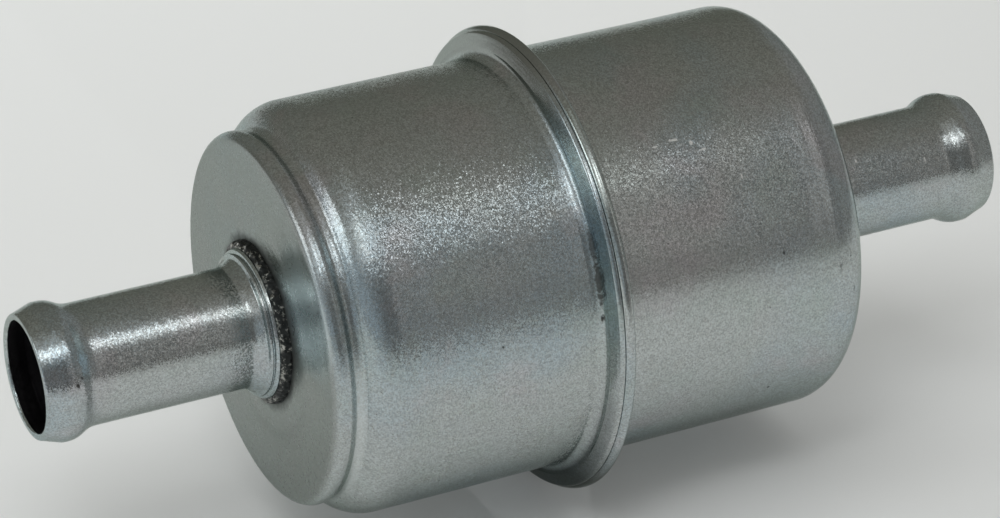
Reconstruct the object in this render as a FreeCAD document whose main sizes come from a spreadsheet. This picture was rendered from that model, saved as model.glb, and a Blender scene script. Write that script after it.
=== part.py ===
import FreeCAD, Part
import Sketcher
import math
import os

# Inline fuel filter with a metal can, 3/8 in hose tubes.  Millimetres.
# +X runs along the axis from the inlet to the outlet, +Z is up, and the origin
# is on the axis in the middle of the can.  Each half of the can is drawn with
# its own X pointing outward, and the inlet half is then turned round.

PARTS_FOLDER = "parts"
SHEET_NAME = "Dimensions"
NEAR = 1e-4
PAPER_START = "-inlet_cap_face + cap_sheet + potting_depth"
PAPER_LENGTH = "inlet_cap_face + outlet_cap_face - 2 * cap_sheet - 2 * potting_depth"

DIMENSIONS = [
    ("inlet_cup_length", "22.3", "middle of the can to the inlet end face"),
    ("outlet_cup_length", "22.8", "middle of the can to the outlet end face"),
    ("shell_sheet", "0.6", "sheet thickness of the drawn cups"),
    ("body_radius", "16.45", "outside of the can"),
    ("hole_radius", "4.8", "hole for the tube in the end face"),
    ("outlet_cup_round", "2.4", "round at the end of the outlet cup"),
    ("rim_radius", "15.35", "rim round the inlet end face"),
    ("rim_round", "0.95", "round between the inlet end face and the rim"),
    ("waist_back", "2.2", "inlet end face back to the waist behind the rim"),
    ("waist_radius", "14.4", "waist behind the rim"),
    ("waist_fillet", "0.7", "fillet in the waist"),
    ("inner_waist_back", "2.42", "inlet end face back to the inside of the waist"),
    ("inner_waist_radius", "13.7", "inside of the waist"),
    ("shoulder_start", "5.9", "inlet end face back to the end of the shoulder arc"),
    ("flange_fillet", "0.7", "fillet between the can and its flange"),
    ("seam_plane", "0.1", "seam of the flanges, on the inlet side of the middle"),
    ("inlet_flange_radius", "18.5", "outer edge of the inlet cup's flange"),
    ("inlet_flange_round", "0.45", "round of that edge on its outer side"),
    ("outlet_flange_radius", "18.8", "outer edge of the outlet cup's flange"),
    ("outlet_flange_round", "0.35", "round of that edge on its outer side"),
    ("seam_round", "0.45", "round of the raised lip beside the seam"),
    ("gasket_thickness", "0.25", "seam gasket, along the axis"),
    ("gasket_inner_radius", "17.0", "seam gasket"),
    ("gasket_outer_radius", "18.15", "seam gasket"),
    ("lip_inner_radius", "18.2", "inside of the outlet flange's raised lip"),
    ("tube_radius", "4.7625", "outside of the hose tube"),
    ("bore_radius", "4.06", "inside of the hose tube"),
    ("inlet_reach", "19.1", "inlet end face to the tip of the tube"),
    ("outlet_reach", "18.6", "outlet end face to the tip of the tube"),
    ("tip_radius", "4.92", "outside of the tube at its tip"),
    ("tip_bore_radius", "4.28", "inside of the tube at its tip"),
    ("tip_round", "0.28", "round on the tip"),
    ("bead_radius", "5.41", "crest of the hose bead"),
    ("bead_bore_radius", "4.72", "inside of the bead"),
    ("bead_front", "1.77", "tip to the front of the crest"),
    ("bead_back", "2.67", "tip to the back of the crest"),
    ("bead_foot", "3.7", "tip to the back foot of the bead"),
    ("bead_crest_fillet", "0.35", "fillet on the crest"),
    ("bead_foot_fillet", "0.5", "fillet at the back foot"),
    ("flare_start", "2.5", "end face to the start of the flare at the tube's root"),
    ("flare_end", "1.3", "end face to the end of the flare"),
    ("flare_end_radius", "5.7", "flare where it meets the collar"),
    ("flare_round", "1.237", "hollow of the flare"),
    ("collar_radius", "5.92", "collar that stops the tube against the end face"),
    ("collar_round", "0.25", "front round of the collar"),
    ("braze_length", "0.65", "braze ring along the axis"),
    ("braze_radius", "6.35", "braze ring"),
    ("braze_round", "0.3", "round of the braze ring"),
    ("inlet_stub", "1.5", "inlet tube inside the can"),
    ("outlet_spigot", "5.8", "outlet tube inside the can"),
    ("cap_sheet", "0.4", "sheet thickness of the element's end caps"),
    ("cap_radius", "13.6", "outside of the end caps"),
    ("cap_skirt", "3.4", "length of the end caps' skirts"),
    ("cap_round", "0.8", "outer round of the end caps"),
    ("inlet_cap_face", "13.4", "outer face of the closed cap from the middle"),
    ("outlet_cap_face", "15.6", "outer face of the open cap from the middle"),
    ("boss_radius", "5.6", "raised centre of the closed cap"),
    ("boss_height", "1.0", "raised centre of the closed cap"),
    ("neck_bore_radius", "6.9", "neck of the open cap"),
    ("neck_length", "3.3", "neck of the open cap"),
    ("potting_depth", "2.0", "bed of potting in each end cap"),
    ("core_radius", "6.2", "outside of the perforated centre tube"),
    ("core_sheet", "0.4", "sheet thickness of the centre tube"),
    ("core_hole_radius", "1.25", "holes in the centre tube"),
    ("core_hole_pitch", "4.0", "spacing of the rows of holes"),
    ("core_hole_rows", "6", "rows of holes along the centre tube"),
    ("core_holes_round", "8", "holes in each row"),
    ("paper_thickness", "0.3", "filter paper"),
    ("pleat_root_radius", "6.6", "inner folds, middle of the paper"),
    ("pleat_tip_radius", "12.6", "outer folds, middle of the paper"),
    ("pleat_root_angle", "3.2", "half angle of a pleat at its root"),
    ("pleat_tip_angle", "1.9", "half angle of a pleat at its tip"),
    ("pleat_count", "30", "pleats round the element"),
    ("clip_sheet", "0.25", "strip that clips the paper's ends together"),
    ("clip_half_gap", "0.62", "half the gap between the clip's legs"),
    ("clip_reach", "2.0", "length of the clip's legs"),
    ("clip_play", "0.05", "clip to the tip of the pleat"),
    ("grommet_bore_radius", "4.8", "rubber grommet on the outlet spigot"),
    ("grommet_start", "16.2", "inner end of the grommet from the middle"),
    ("grommet_flange_radius", "8.4", "part of the grommet that meets the end of the can"),
    ("grommet_play", "0.02", "grommet to the neck"),
    ("spring_radius", "7.2", "retaining spring, to the middle of the wire"),
    ("spring_wire_radius", "0.5", "wire of the retaining spring"),
    ("spring_pitch", "2.1", "pitch of the retaining spring"),
]


def fill_sheet(document):
    sheet = document.addObject("Spreadsheet::Sheet", SHEET_NAME)
    for row, (alias, value, meaning) in enumerate(DIMENSIONS, start=1):
        sheet.set("A%d" % row, meaning)
        sheet.set("B%d" % row, value)
        sheet.setAlias("B%d" % row, alias)
    document.recompute()
    return sheet


def sized(text):
    """Write a formula in dimension names as an expression on the sheet."""
    words = []
    word = ""
    for letter in text + " ":
        if letter.isalnum() or letter in "_.":
            word += letter
            continue
        if word in ALIASES:
            word = SHEET_NAME + "." + word
        words.append(word)
        words.append(letter)
        word = ""
    return "".join(words).strip()


def value_of(body, text):
    return float(body.evalExpression(sized(text)))


def start_body(document, label):
    body = document.addObject("PartDesign::Body", label)
    body.Label = label
    return body


def origin_feature(body, role):
    for feature in body.Origin.OriginFeatures:
        if feature.Role == role:
            return feature
    raise ValueError("no origin feature " + role)


def start_sketch(body, name, plane):
    sketch = body.newObject("Sketcher::SketchObject", name)
    sketch.AttachmentSupport = [(origin_feature(body, plane), "")]
    sketch.MapMode = "FlatFace"
    return sketch


def bind(sketch, kind, name, expression, *where):
    """Add one constraint and let the sheet drive its value."""
    value = value_of(sketch, expression)
    index = sketch.addConstraint(Sketcher.Constraint(kind, *where, value))
    sketch.renameConstraint(index, name)
    sketch.setExpression("Constraints." + name, sized(expression))


def arc_between(start, end, radius, turn):
    """Arc from start to end; turn is 1 for anticlockwise and -1 for clockwise."""
    chord = end - start
    middle = (start + end) * 0.5
    rise = math.sqrt(max(radius ** 2 - (chord.Length / 2) ** 2, 0.0))
    normal = FreeCAD.Vector(-chord.y, chord.x, 0).normalize()
    centre = middle + normal * (rise * turn)
    first, last = (start, end) if turn > 0 else (end, start)
    first_angle = math.atan2(first.y - centre.y, first.x - centre.x)
    last_angle = math.atan2(last.y - centre.y, last.x - centre.x)
    if last_angle < first_angle:
        last_angle += 2 * math.pi
    circle = Part.Circle(centre, FreeCAD.Vector(0, 0, 1), radius)
    return Part.ArcOfCircle(circle, first_angle, last_angle)


def draw_outline(sketch, outline):
    """Closed outline; each corner is (x, y) or (x, y, arc radius, turn) to the next."""
    corners = [
        FreeCAD.Vector(value_of(sketch, corner[0]), value_of(sketch, corner[1]), 0)
        for corner in outline
    ]
    ends = []
    for index, corner in enumerate(outline):
        start = corners[index]
        end = corners[(index + 1) % len(corners)]
        if len(corner) == 2:
            geometry = sketch.addGeometry(Part.LineSegment(start, end), False)
            ends.append((geometry, 1, 2))
            continue
        radius, turn = corner[2], corner[3]
        arc = arc_between(start, end, value_of(sketch, radius), turn)
        geometry = sketch.addGeometry(arc, False)
        ends.append((geometry, 1, 2) if turn > 0 else (geometry, 2, 1))
    for index, (geometry, _, finish) in enumerate(ends):
        following, following_begin, _ = ends[(index + 1) % len(ends)]
        joined = Sketcher.Constraint(
            "Coincident", geometry, finish, following, following_begin
        )
        sketch.addConstraint(joined)
    for index, (geometry, begin, _) in enumerate(ends):
        corner = outline[index]
        bind(sketch, "DistanceX", "x%d" % index, corner[0], -1, 1, geometry, begin)
        bind(sketch, "DistanceY", "y%d" % index, corner[1], -1, 1, geometry, begin)
        if len(corner) > 2:
            bind(sketch, "Radius", "r%d" % index, corner[2], geometry)


def revolve(body, name, outline):
    """Turn an outline drawn in the XZ plane round the X axis."""
    sketch = start_sketch(body, name + "_profile", "XZ_Plane")
    draw_outline(sketch, outline)
    feature = body.newObject("PartDesign::Revolution", name + "_turned")
    feature.Profile = sketch
    feature.ReferenceAxis = (sketch, ["H_Axis"])
    feature.Angle = 360.0
    sketch.Visibility = False
    body.Document.recompute()
    return feature


def circles_at(shape, stations):
    """Names of the round edges at the given (x, radius) stations."""
    names = []
    for index, edge in enumerate(shape.Edges, start=1):
        if not isinstance(edge.Curve, Part.Circle):
            continue
        for x, radius in stations:
            same_place = abs(edge.Curve.Center.x - x) < NEAR
            if same_place and abs(edge.Curve.Radius - radius) < NEAR:
                names.append("Edge%d" % index)
    return names


def round_circles(body, base, name, stations, radius):
    places = [(value_of(body, x), value_of(body, r)) for x, r in stations]
    fillet = body.newObject("PartDesign::Fillet", name)
    fillet.Base = (base, circles_at(base.Shape, places))
    fillet.Radius = value_of(body, radius)
    fillet.setExpression("Radius", sized(radius))
    base.Visibility = False
    body.Document.recompute()
    return fillet


def turn_to_inlet(body):
    half_turn = FreeCAD.Rotation(FreeCAD.Vector(0, 0, 1), 180)
    body.Placement = FreeCAD.Placement(FreeCAD.Vector(0, 0, 0), half_turn)


def flange_foot(flange_face):
    """Outside of the can down to its flange."""
    return [
        (flange_face + " + flange_fillet", "body_radius", "flange_fillet", -1),
        (flange_face, "body_radius + flange_fillet"),
    ]


def flange_inside(flange_back):
    """Inside of the can from the back of its flange."""
    back_round = "flange_fillet + shell_sheet"
    return [
        (flange_back, "body_radius + flange_fillet", back_round, 1),
        (flange_back + " + " + back_round, "body_radius - shell_sheet"),
    ]


def tangent_round(rise, run):
    """Radius of an arc that leaves the can smoothly and falls by rise over run."""
    return "((%s)^2 + (%s)^2) / (2 * (%s))" % (rise, run, rise)


def make_inlet_shell(document):
    """Cup with a rim and a waist, and a plain flange rounded toward the inlet."""
    body = start_body(document, "inlet_shell")
    end = "inlet_cup_length"
    face = "seam_plane + shell_sheet"
    edge = "inlet_flange_radius"
    shoulder = end + " - shoulder_start"
    inside = "body_radius - shell_sheet"
    outer_round = tangent_round("body_radius - waist_radius", "shoulder_start - waist_back")
    inner_round = tangent_round(
        inside + " - inner_waist_radius", "shoulder_start - inner_waist_back"
    )
    outline = [
        (end, "hole_radius"),
        (end, "rim_radius - rim_round", "rim_round", 1),
        (end + " - rim_round", "rim_radius"),
        (end + " - waist_back", "waist_radius", outer_round, 1),
        (shoulder, "body_radius"),
    ]
    outline += flange_foot(face)
    outline += [
        (face, edge + " - inlet_flange_round", "inlet_flange_round", 1),
        (face + " - inlet_flange_round", edge),
        ("seam_plane", edge),
    ]
    outline += flange_inside("seam_plane")
    outline += [
        (shoulder, inside, inner_round, -1),
        (end + " - inner_waist_back", "inner_waist_radius"),
        (end + " - rim_round", "rim_radius - shell_sheet", "rim_round - shell_sheet", -1),
        (end + " - shell_sheet", "rim_radius - rim_round"),
        (end + " - shell_sheet", "hole_radius"),
    ]
    cup = revolve(body, "inlet_shell", outline)
    waist = [(end + " - waist_back", "waist_radius")]
    round_circles(body, cup, "inlet_shell_waist", waist, "waist_fillet")
    turn_to_inlet(body)


def make_outlet_shell(document):
    """Plain cup whose flange ends in a raised lip that closes on the inlet flange."""
    body = start_body(document, "outlet_shell")
    end = "outlet_cup_length"
    back = "gasket_thickness - seam_plane"
    face = back + " + shell_sheet"
    edge = "outlet_flange_radius"
    inside = "body_radius - shell_sheet"
    inner_round = "outlet_cup_round - shell_sheet"
    outline = [
        (end, "hole_radius"),
        (end, "body_radius - outlet_cup_round", "outlet_cup_round", 1),
        (end + " - outlet_cup_round", "body_radius"),
    ]
    outline += flange_foot(face)
    outline += [
        (face, edge + " - outlet_flange_round", "outlet_flange_round", 1),
        (face + " - outlet_flange_round", edge),
        ("seam_round - seam_plane", edge, "seam_round", 1),
        ("-seam_plane", edge + " - seam_round"),
        ("-seam_plane", "lip_inner_radius"),
        (back, "lip_inner_radius"),
    ]
    outline += flange_inside(back)
    outline += [
        (end + " - outlet_cup_round", inside, inner_round, -1),
        (end + " - shell_sheet", "body_radius - outlet_cup_round"),
        (end + " - shell_sheet", "hole_radius"),
    ]
    revolve(body, "outlet_shell", outline)


def make_tube(document, label, end, reach, inside_reach):
    """Hose tube: rounded mouth, hose bead, plain tube, flared root and collar."""
    body = start_body(document, label)
    tip = end + " + " + reach
    collar = end + " + braze_length"
    inner_end = end + " - shell_sheet - " + inside_reach
    outline = [
        (tip, "tip_bore_radius"),
        (tip, "tip_radius - tip_round", "tip_round", 1),
        (tip + " - tip_round", "tip_radius"),
        (tip + " - bead_front", "bead_radius"),
        (tip + " - bead_back", "bead_radius"),
        (tip + " - bead_foot", "tube_radius"),
        (end + " + flare_start", "tube_radius", "flare_round", -1),
        (end + " + flare_end", "flare_end_radius"),
        (collar + " + collar_round", "collar_radius", "collar_round", 1),
        (collar, "collar_radius - collar_round"),
        (collar, "tube_radius"),
        (inner_end, "tube_radius"),
        (inner_end, "bore_radius"),
        (tip + " - bead_foot", "bore_radius"),
        (tip + " - bead_back", "bead_bore_radius"),
        (tip + " - bead_front", "bead_bore_radius"),
    ]
    tube = revolve(body, label, outline)
    crest = [(tip + " - bead_front", "bead_radius"), (tip + " - bead_back", "bead_radius")]
    crested = round_circles(body, tube, label + "_crest", crest, "bead_crest_fillet")
    foot = [(tip + " - bead_foot", "tube_radius")]
    round_circles(body, crested, label + "_foot", foot, "bead_foot_fillet")
    return body


def make_braze_ring(document, label, end):
    """Ring of braze metal in the corner between the collar and the end face."""
    body = start_body(document, label)
    collar = end + " + braze_length"
    outline = [
        (collar, "tube_radius"),
        (collar, "braze_radius - braze_round", "braze_round", 1),
        (collar + " - braze_round", "braze_radius"),
        (end, "braze_radius"),
        (end, "tube_radius"),
    ]
    revolve(body, label, outline)
    return body


def make_seam_gasket(document):
    body = start_body(document, "seam_gasket")
    outline = [
        ("gasket_thickness - seam_plane", "gasket_inner_radius"),
        ("gasket_thickness - seam_plane", "gasket_outer_radius"),
        ("-seam_plane", "gasket_outer_radius"),
        ("-seam_plane", "gasket_inner_radius"),
    ]
    revolve(body, "seam_gasket", outline)


def make_inlet_end_cap(document):
    """Closed cap of the element, with a raised centre that guides the spring."""
    body = start_body(document, "inlet_end_cap")
    face = "inlet_cap_face"
    outline = [
        (face + " + boss_height", "0"),
        (face + " + boss_height", "boss_radius - cap_sheet"),
        (face, "boss_radius"),
        (face, "cap_radius - cap_round", "cap_round", 1),
        (face + " - cap_round", "cap_radius"),
        (face + " - cap_skirt", "cap_radius"),
        (face + " - cap_skirt", "cap_radius - cap_sheet"),
        (
            face + " - cap_round",
            "cap_radius - cap_sheet",
            "cap_round - cap_sheet",
            -1,
        ),
        (face + " - cap_sheet", "cap_radius - cap_round"),
        (face + " - cap_sheet", "boss_radius - cap_sheet"),
        (face + " + boss_height - cap_sheet", "boss_radius - 2 * cap_sheet"),
        (face + " + boss_height - cap_sheet", "0"),
    ]
    revolve(body, "inlet_end_cap", outline)
    turn_to_inlet(body)


def make_outlet_end_cap(document):
    """Open cap of the element, with a neck that holds the grommet."""
    body = start_body(document, "outlet_end_cap")
    face = "outlet_cap_face"
    neck_outside = "neck_bore_radius + cap_sheet"
    outline = [
        (face + " + neck_length", "neck_bore_radius"),
        (face + " + neck_length", neck_outside),
        (face, neck_outside),
        (face, "cap_radius - cap_round", "cap_round", 1),
        (face + " - cap_round", "cap_radius"),
        (face + " - cap_skirt", "cap_radius"),
        (face + " - cap_skirt", "cap_radius - cap_sheet"),
        (
            face + " - cap_round",
            "cap_radius - cap_sheet",
            "cap_round - cap_sheet",
            -1,
        ),
        (face + " - cap_sheet", "cap_radius - cap_round"),
        (face + " - cap_sheet", "neck_bore_radius"),
    ]
    revolve(body, "outlet_end_cap", outline)


def make_potting(document, label, cap_face, bore):
    """Bed of potting that seals the paper and the centre tube to an end cap."""
    body = start_body(document, label)
    bed = cap_face + " - cap_sheet"
    corner = "cap_radius - cap_round"
    outline = [
        (bed, bore),
        (bed, corner, "cap_round - cap_sheet", 1),
        (cap_face + " - cap_round", "cap_radius - cap_sheet"),
        (bed + " - potting_depth", "cap_radius - cap_sheet"),
        (bed + " - potting_depth", bore),
    ]
    revolve(body, label, outline)
    return body


def make_centre_tube(document):
    """Perforated tube that stops the paper collapsing inward."""
    body = start_body(document, "centre_tube")
    end = "outlet_cap_face - cap_sheet - potting_depth"
    outline = [
        (end, "core_radius - core_sheet"),
        (end, "core_radius"),
        (PAPER_START, "core_radius"),
        (PAPER_START, "core_radius - core_sheet"),
    ]
    wall = revolve(body, "centre_tube", outline)
    middle = "(outlet_cap_face - inlet_cap_face) / 2"
    first_row = middle + " - core_hole_pitch * (core_hole_rows - 1) / 2"
    sketch = start_sketch(body, "centre_tube_hole", "XY_Plane")
    place = FreeCAD.Vector(value_of(sketch, first_row), 0, 0)
    circle = Part.Circle(place, FreeCAD.Vector(0, 0, 1), value_of(sketch, "core_hole_radius"))
    geometry = sketch.addGeometry(circle, False)
    bind(sketch, "DistanceX", "row", first_row, -1, 1, geometry, 3)
    sketch.addConstraint(Sketcher.Constraint("PointOnObject", geometry, 3, -1))
    bind(sketch, "Radius", "hole", "core_hole_radius", geometry)
    pocket = body.newObject("PartDesign::Pocket", "centre_tube_pocket")
    pocket.Profile = sketch
    pocket.Reversed = True
    pocket.Length = value_of(body, "core_radius + core_sheet")
    pocket.setExpression("Length", sized("core_radius + core_sheet"))
    sketch.Visibility = False
    document.recompute()
    if pocket.Shape.Volume > wall.Shape.Volume - NEAR:
        raise ValueError("the hole missed the wall of the centre tube")
    pattern = body.newObject("PartDesign::MultiTransform", "centre_tube_holes")
    pattern.Originals = [pocket]
    row_length = "core_hole_pitch * (core_hole_rows - 1)"
    rows = body.newObject("PartDesign::LinearPattern", "centre_tube_rows")
    rows.Direction = (origin_feature(body, "X_Axis"), [""])
    rows.Length = value_of(body, row_length)
    rows.setExpression("Length", sized(row_length))
    rows.Occurrences = int(value_of(body, "core_hole_rows"))
    rows.setExpression("Occurrences", sized("core_hole_rows"))
    ring = body.newObject("PartDesign::PolarPattern", "centre_tube_ring")
    ring.Axis = (origin_feature(body, "X_Axis"), [""])
    ring.Angle = 360.0
    ring.Occurrences = int(value_of(body, "core_holes_round"))
    ring.setExpression("Occurrences", sized("core_holes_round"))
    pattern.Transformations = [rows, ring]
    body.Tip = pattern
    document.recompute()


def pad_along_axis(body, name, outline, start, length):
    """Pad an outline drawn in the YZ plane along +X from a given station."""
    sketch = start_sketch(body, name + "_section", "YZ_Plane")
    draw_outline(sketch, outline)
    sketch.AttachmentOffset = FreeCAD.Placement(
        FreeCAD.Vector(0, 0, value_of(body, start)), FreeCAD.Rotation()
    )
    sketch.setExpression("AttachmentOffset.Base.z", sized(start))
    pad = body.newObject("PartDesign::Pad", name + "_pad")
    pad.Profile = sketch
    pad.Length = value_of(body, length)
    pad.setExpression("Length", sized(length))
    sketch.Visibility = False
    body.Document.recompute()
    return pad


def pleat_corner(side, radius, angle, shift):
    """Corner of a pleat beside its middle plane, moved across by a shift."""
    across = "%s(%s) * sin(%s)" % (side, radius, angle)
    return (across + " " + shift, "(%s) * cos(%s)" % (radius, angle))


def make_pleated_paper(document):
    """Star-folded paper: one pleat, padded and repeated round the axis."""
    body = start_body(document, "pleated_paper")
    tip_out = "pleat_tip_radius + paper_thickness / 2"
    tip_in = "pleat_tip_radius - paper_thickness / 2"
    root_out = "pleat_root_radius + paper_thickness / 2"
    root_in = "pleat_root_radius - paper_thickness / 2"
    half_pitch = "180 / pleat_count"
    away = "+ paper_thickness / 2"
    back = "- paper_thickness / 2"
    outline = [
        pleat_corner("", root_in, half_pitch, ""),
        pleat_corner("", root_out, half_pitch, ""),
        pleat_corner("", root_out, "pleat_root_angle", away),
        pleat_corner("", tip_out, "pleat_tip_angle", away),
        pleat_corner("-", tip_out, "pleat_tip_angle", back),
        pleat_corner("-", root_out, "pleat_root_angle", back),
        pleat_corner("-", root_out, half_pitch, ""),
        pleat_corner("-", root_in, half_pitch, ""),
        pleat_corner("-", root_in, "pleat_root_angle", away),
        pleat_corner("-", tip_in, "pleat_tip_angle", away),
        pleat_corner("", tip_in, "pleat_tip_angle", back),
        pleat_corner("", root_in, "pleat_root_angle", back),
    ]
    pleat = pad_along_axis(body, "pleated_paper", outline, PAPER_START, PAPER_LENGTH)
    ring = body.newObject("PartDesign::PolarPattern", "pleated_paper_ring")
    ring.Originals = [pleat]
    ring.Axis = (origin_feature(body, "X_Axis"), [""])
    ring.Angle = 360.0
    ring.Occurrences = int(value_of(body, "pleat_count"))
    ring.setExpression("Occurrences", sized("pleat_count"))
    body.Tip = ring
    document.recompute()


def make_pleat_clip(document):
    """Folded strip over the pleat where the two ends of the paper meet."""
    body = start_body(document, "pleat_clip")
    inner_half = "clip_half_gap"
    outer_half = "clip_half_gap + clip_sheet"
    tip = "pleat_tip_radius + paper_thickness / 2 + clip_play"
    outline = [
        (inner_half, tip + " - clip_reach"),
        (outer_half, tip + " - clip_reach"),
        (outer_half, tip + " + clip_sheet"),
        ("-(" + outer_half + ")", tip + " + clip_sheet"),
        ("-(" + outer_half + ")", tip + " - clip_reach"),
        ("-" + inner_half, tip + " - clip_reach"),
        ("-" + inner_half, tip),
        (inner_half, tip),
    ]
    pad_along_axis(body, "pleat_clip", outline, PAPER_START, PAPER_LENGTH)


def make_outlet_grommet(document):
    """Rubber seal in the open cap's neck; it slides on the outlet spigot."""
    body = start_body(document, "outlet_grommet")
    neck_end = "outlet_cap_face + neck_length"
    end_face = "outlet_cup_length - shell_sheet"
    outline = [
        (end_face, "grommet_bore_radius"),
        (end_face, "grommet_flange_radius"),
        (neck_end, "grommet_flange_radius"),
        (neck_end, "neck_bore_radius - grommet_play"),
        ("grommet_start", "neck_bore_radius - grommet_play"),
        ("grommet_start", "grommet_bore_radius"),
    ]
    revolve(body, "outlet_grommet", outline)


def make_retaining_spring(document):
    """Compression spring between the inlet end of the can and the closed cap."""
    body = start_body(document, "retaining_spring")
    sketch = start_sketch(body, "retaining_spring_wire", "XZ_Plane")
    end_face = "inlet_cup_length - shell_sheet"
    start = "-(" + end_face + ") + spring_wire_radius"
    height = end_face + " - inlet_cap_face - 2 * spring_wire_radius"
    place = FreeCAD.Vector(value_of(sketch, start), value_of(sketch, "spring_radius"), 0)
    wire = Part.Circle(place, FreeCAD.Vector(0, 0, 1), value_of(sketch, "spring_wire_radius"))
    geometry = sketch.addGeometry(wire, False)
    bind(sketch, "DistanceX", "start", start, -1, 1, geometry, 3)
    bind(sketch, "DistanceY", "coil", "spring_radius", -1, 1, geometry, 3)
    bind(sketch, "Radius", "wire", "spring_wire_radius", geometry)
    helix = body.newObject("PartDesign::AdditiveHelix", "retaining_spring_coil")
    helix.Profile = sketch
    helix.ReferenceAxis = (sketch, ["H_Axis"])
    helix.Mode = "pitch-height-angle"
    helix.Pitch = value_of(body, "spring_pitch")
    helix.setExpression("Pitch", sized("spring_pitch"))
    helix.Height = value_of(body, height)
    helix.setExpression("Height", sized(height))
    helix.Angle = 0.0
    helix.Reversed = False
    sketch.Visibility = False
    document.recompute()


def make_parts(document):
    make_inlet_shell(document)
    make_outlet_shell(document)
    inlet_end = "inlet_cup_length"
    outlet_end = "outlet_cup_length"
    tube = make_tube(document, "inlet_tube", inlet_end, "inlet_reach", "inlet_stub")
    turn_to_inlet(tube)
    make_tube(document, "outlet_tube", outlet_end, "outlet_reach", "outlet_spigot")
    turn_to_inlet(make_braze_ring(document, "inlet_braze_ring", inlet_end))
    make_braze_ring(document, "outlet_braze_ring", outlet_end)
    make_seam_gasket(document)
    make_inlet_end_cap(document)
    make_outlet_end_cap(document)
    turn_to_inlet(make_potting(document, "inlet_potting", "inlet_cap_face", "0"))
    core_bore = "core_radius - core_sheet"
    make_potting(document, "outlet_potting", "outlet_cap_face", core_bore)
    make_centre_tube(document)
    make_pleated_paper(document)
    make_pleat_clip(document)
    make_outlet_grommet(document)
    make_retaining_spring(document)


def check_and_export(document):
    for item in document.Objects:
        if "Invalid" in item.State or "Error" in item.State:
            raise ValueError(item.Label + " did not build")
    for item in document.Objects:
        if item.TypeId != "PartDesign::Body":
            continue
        shape = item.Shape
        if shape.isNull() or not shape.isValid():
            raise ValueError(item.Label + " has a bad shape")
        shape.exportStep(os.path.join(PARTS_FOLDER, item.Label + ".step"))
        print(item.Label, len(shape.Solids), round(shape.Volume, 2), shape.BoundBox)


ALIASES = {alias for alias, _, _ in DIMENSIONS}
os.makedirs(PARTS_FOLDER, exist_ok=True)
model = FreeCAD.newDocument("fuel_filter")
fill_sheet(model)
make_parts(model)
model.recompute()
check_and_export(model)
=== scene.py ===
import math

import bpy
import numpy as np
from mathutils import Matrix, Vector, noise


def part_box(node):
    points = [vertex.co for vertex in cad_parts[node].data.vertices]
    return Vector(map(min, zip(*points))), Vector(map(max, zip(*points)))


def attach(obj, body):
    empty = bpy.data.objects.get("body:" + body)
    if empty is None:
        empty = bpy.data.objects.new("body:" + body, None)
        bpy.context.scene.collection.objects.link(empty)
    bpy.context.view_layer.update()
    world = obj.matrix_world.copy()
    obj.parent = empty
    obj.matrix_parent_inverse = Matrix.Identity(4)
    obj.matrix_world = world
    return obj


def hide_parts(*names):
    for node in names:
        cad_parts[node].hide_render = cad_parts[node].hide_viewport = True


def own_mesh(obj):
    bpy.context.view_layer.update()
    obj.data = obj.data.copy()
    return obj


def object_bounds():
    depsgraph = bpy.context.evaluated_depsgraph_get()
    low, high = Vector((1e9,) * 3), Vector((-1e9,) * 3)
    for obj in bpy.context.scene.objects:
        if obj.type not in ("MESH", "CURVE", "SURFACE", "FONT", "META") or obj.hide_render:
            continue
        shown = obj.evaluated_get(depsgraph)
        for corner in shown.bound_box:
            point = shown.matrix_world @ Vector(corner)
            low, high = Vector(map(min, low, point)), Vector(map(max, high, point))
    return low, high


# Inline fuel filter lying on a pale floor.  Metres, in the frame of the CAD.
# The axis of the filter is X; the inlet is at -X and the outlet at +X.

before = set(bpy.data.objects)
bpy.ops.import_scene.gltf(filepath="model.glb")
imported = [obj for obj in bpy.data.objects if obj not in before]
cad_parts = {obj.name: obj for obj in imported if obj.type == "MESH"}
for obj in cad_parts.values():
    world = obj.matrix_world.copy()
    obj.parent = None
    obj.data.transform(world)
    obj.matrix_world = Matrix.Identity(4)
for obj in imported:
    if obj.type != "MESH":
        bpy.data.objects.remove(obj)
CAD_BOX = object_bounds()

MM = 0.001
FULL_TURN = 2 * math.pi

# Turned meshes: runs round the axis, the step of a rounded corner, the angle from
# which an edge stays sharp, the least bend that is rounded, and the size of waves
# in formed sheet.
SEGMENTS = 288
ARC_STEP = math.radians(6)
SHARP_ANGLE = math.radians(32)
LEAST_BEND = math.radians(1)
UNEVEN_SIZE = 12 * MM

# Camera: where it stands round the filter and what it aims at.
CAMERA_AZIMUTH = math.radians(26.03)
CAMERA_ELEVATION = math.radians(29.36)
CAMERA_DISTANCE = 0.30384
CAMERA_LENS = 137.78
SENSOR_WIDTH = 36.0
AIM_RIGHT = -0.001446
AIM_UP = 0.000014

# Retaining spring: coil radius to the middle of the wire, wire radius and pitch,
# with the rings of its mesh in a turn and their sides.
SPRING_RADIUS = 7.2 * MM
SPRING_WIRE = 0.5 * MM
SPRING_PITCH = 2.1 * MM
SPRING_STEPS = 48
SPRING_SIDES = 14

# Braze bead: height and size of its coarse and fine lumps, and the radii between
# which they grow to their full height.
COARSE_LUMPS = (0.10 * MM, 0.0014)
FINE_LUMPS = (0.07 * MM, 0.00030)
LUMPS_FROM = 5.7 * MM
LUMPS_GROW = 0.3 * MM

# ---------------------------------------------------------------- outlines


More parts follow.
